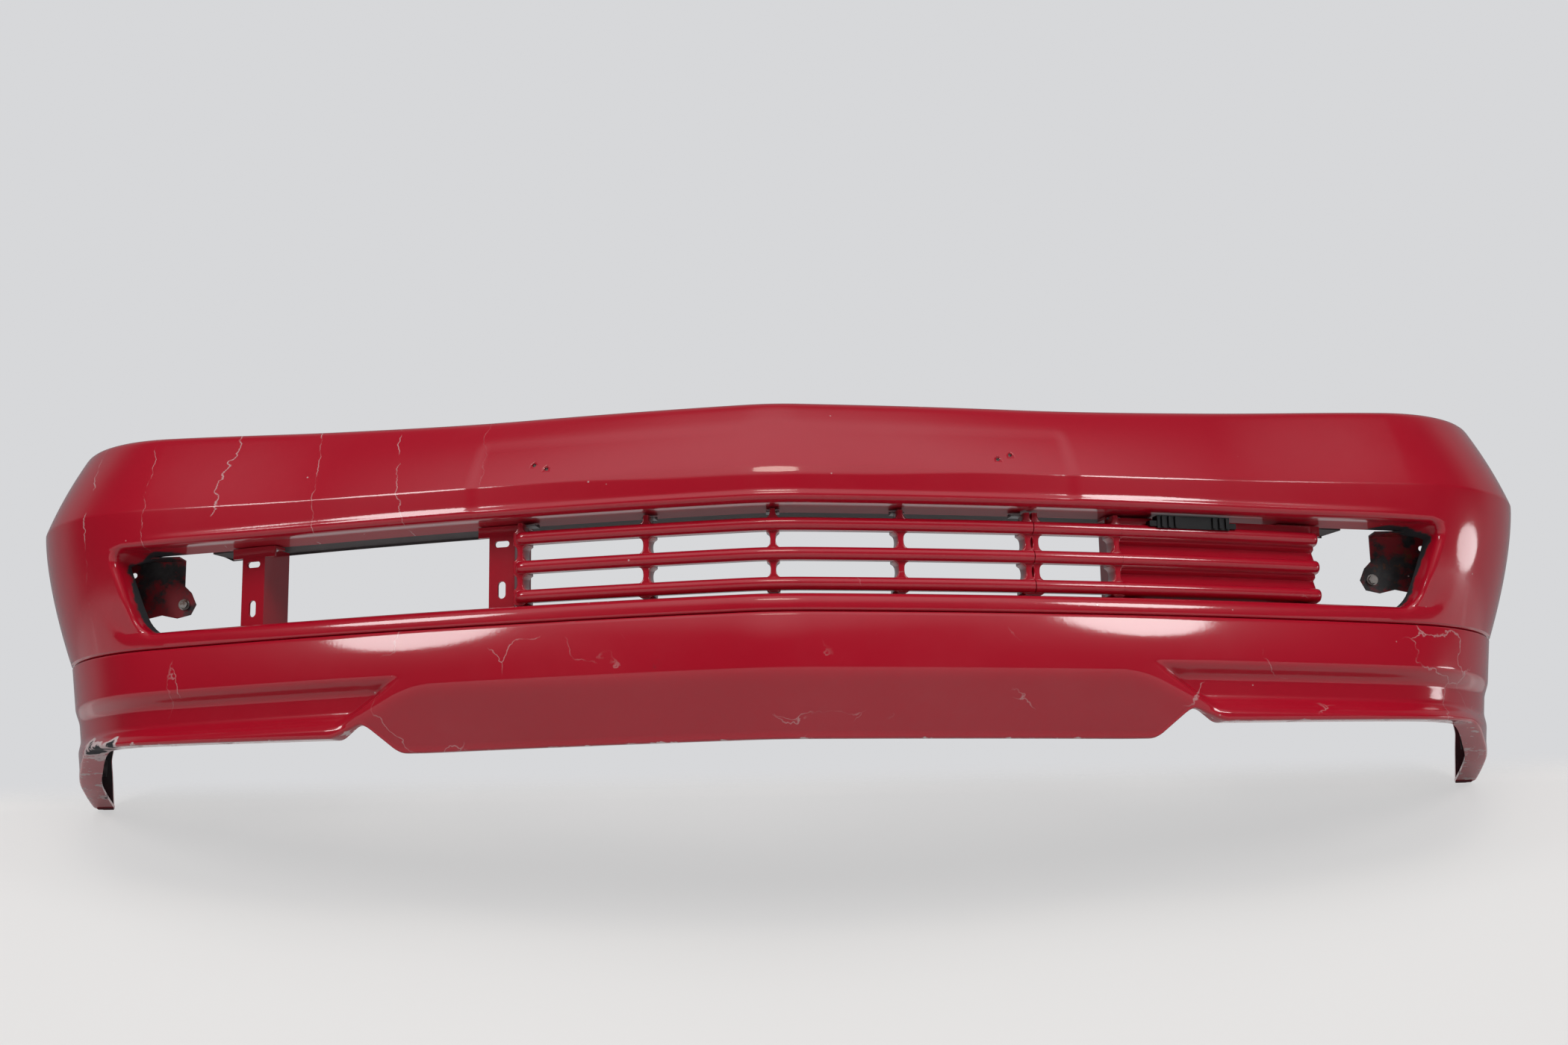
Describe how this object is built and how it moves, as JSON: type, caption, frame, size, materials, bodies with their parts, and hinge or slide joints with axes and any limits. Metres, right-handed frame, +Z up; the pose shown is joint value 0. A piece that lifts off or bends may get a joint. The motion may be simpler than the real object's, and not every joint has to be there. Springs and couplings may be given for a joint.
{
  "type": "front bumper cover",
  "caption": "Front bumper cover with lower apron, slatted intake grille, tie brackets, fog lamp brackets and fixing hardware.",
  "frame": {"origin": "bottom centre of the bounding box, level with the wing tips that it stands on", "axes": "+X across the car to the right of someone facing the bumper, +Y to the car's rear, +Z up"},
  "size_m": [1.8076, 0.4859, 0.4181],
  "materials": {
    "cover_paint": "glossy crimson paint on flexible plastic, scratched and chipped",
    "grille_paint": "glossy crimson paint on plastic",
    "bracket_paint": "crimson paint with bare worn edges",
    "lamp_bracket_steel": "black paint with crimson overspray and rust",
    "rail_steel": "black painted steel",
    "spring_steel": "phosphated spring steel",
    "clip_plastic": "black moulded plastic",
    "rivet_metal": "aluminium rivets",
    "stud_steel": "zinc plated steel",
    "worn_steel": "weathered zinc",
    "rusty_steel": "rusty steel",
    "strip_plastic": "grey black bare plastic",
    "nut_plastic": "off-white nylon"
  },
  "bodies": {
    "root": {"upper_cover": "cover_paint", "lower_apron": "cover_paint", "centre_grille": "grille_paint", "right_grille_insert": "grille_paint", "insert_clip": "clip_plastic", "inner_left_bracket": "bracket_paint", "outer_left_bracket": "bracket_paint", "inner_right_bracket": "bracket_paint", "outer_right_bracket": "bracket_paint", "bracket_rivets": "rivet_metal", "left_fog_lamp_bracket": "lamp_bracket_steel", "right_fog_lamp_bracket": "lamp_bracket_steel", "fog_bracket_bolts": "worn_steel", "fog_bracket_nuts": "rusty_steel", "intake_edge_strip": "strip_plastic", "top_mounting_strip": "rail_steel", "top_strip_rivets": "rivet_metal", "left_side_rail": "rail_steel", "right_side_rail": "rail_steel", "side_rail_studs": "stud_steel", "number_plate_nuts": "nut_plastic", "seam_clips": "spring_steel", "wheel_arch_spring_nuts": "spring_steel", "undertray_spring_nuts": "spring_steel", "grille_clips": "spring_steel"}
  },
  "joints": []
}
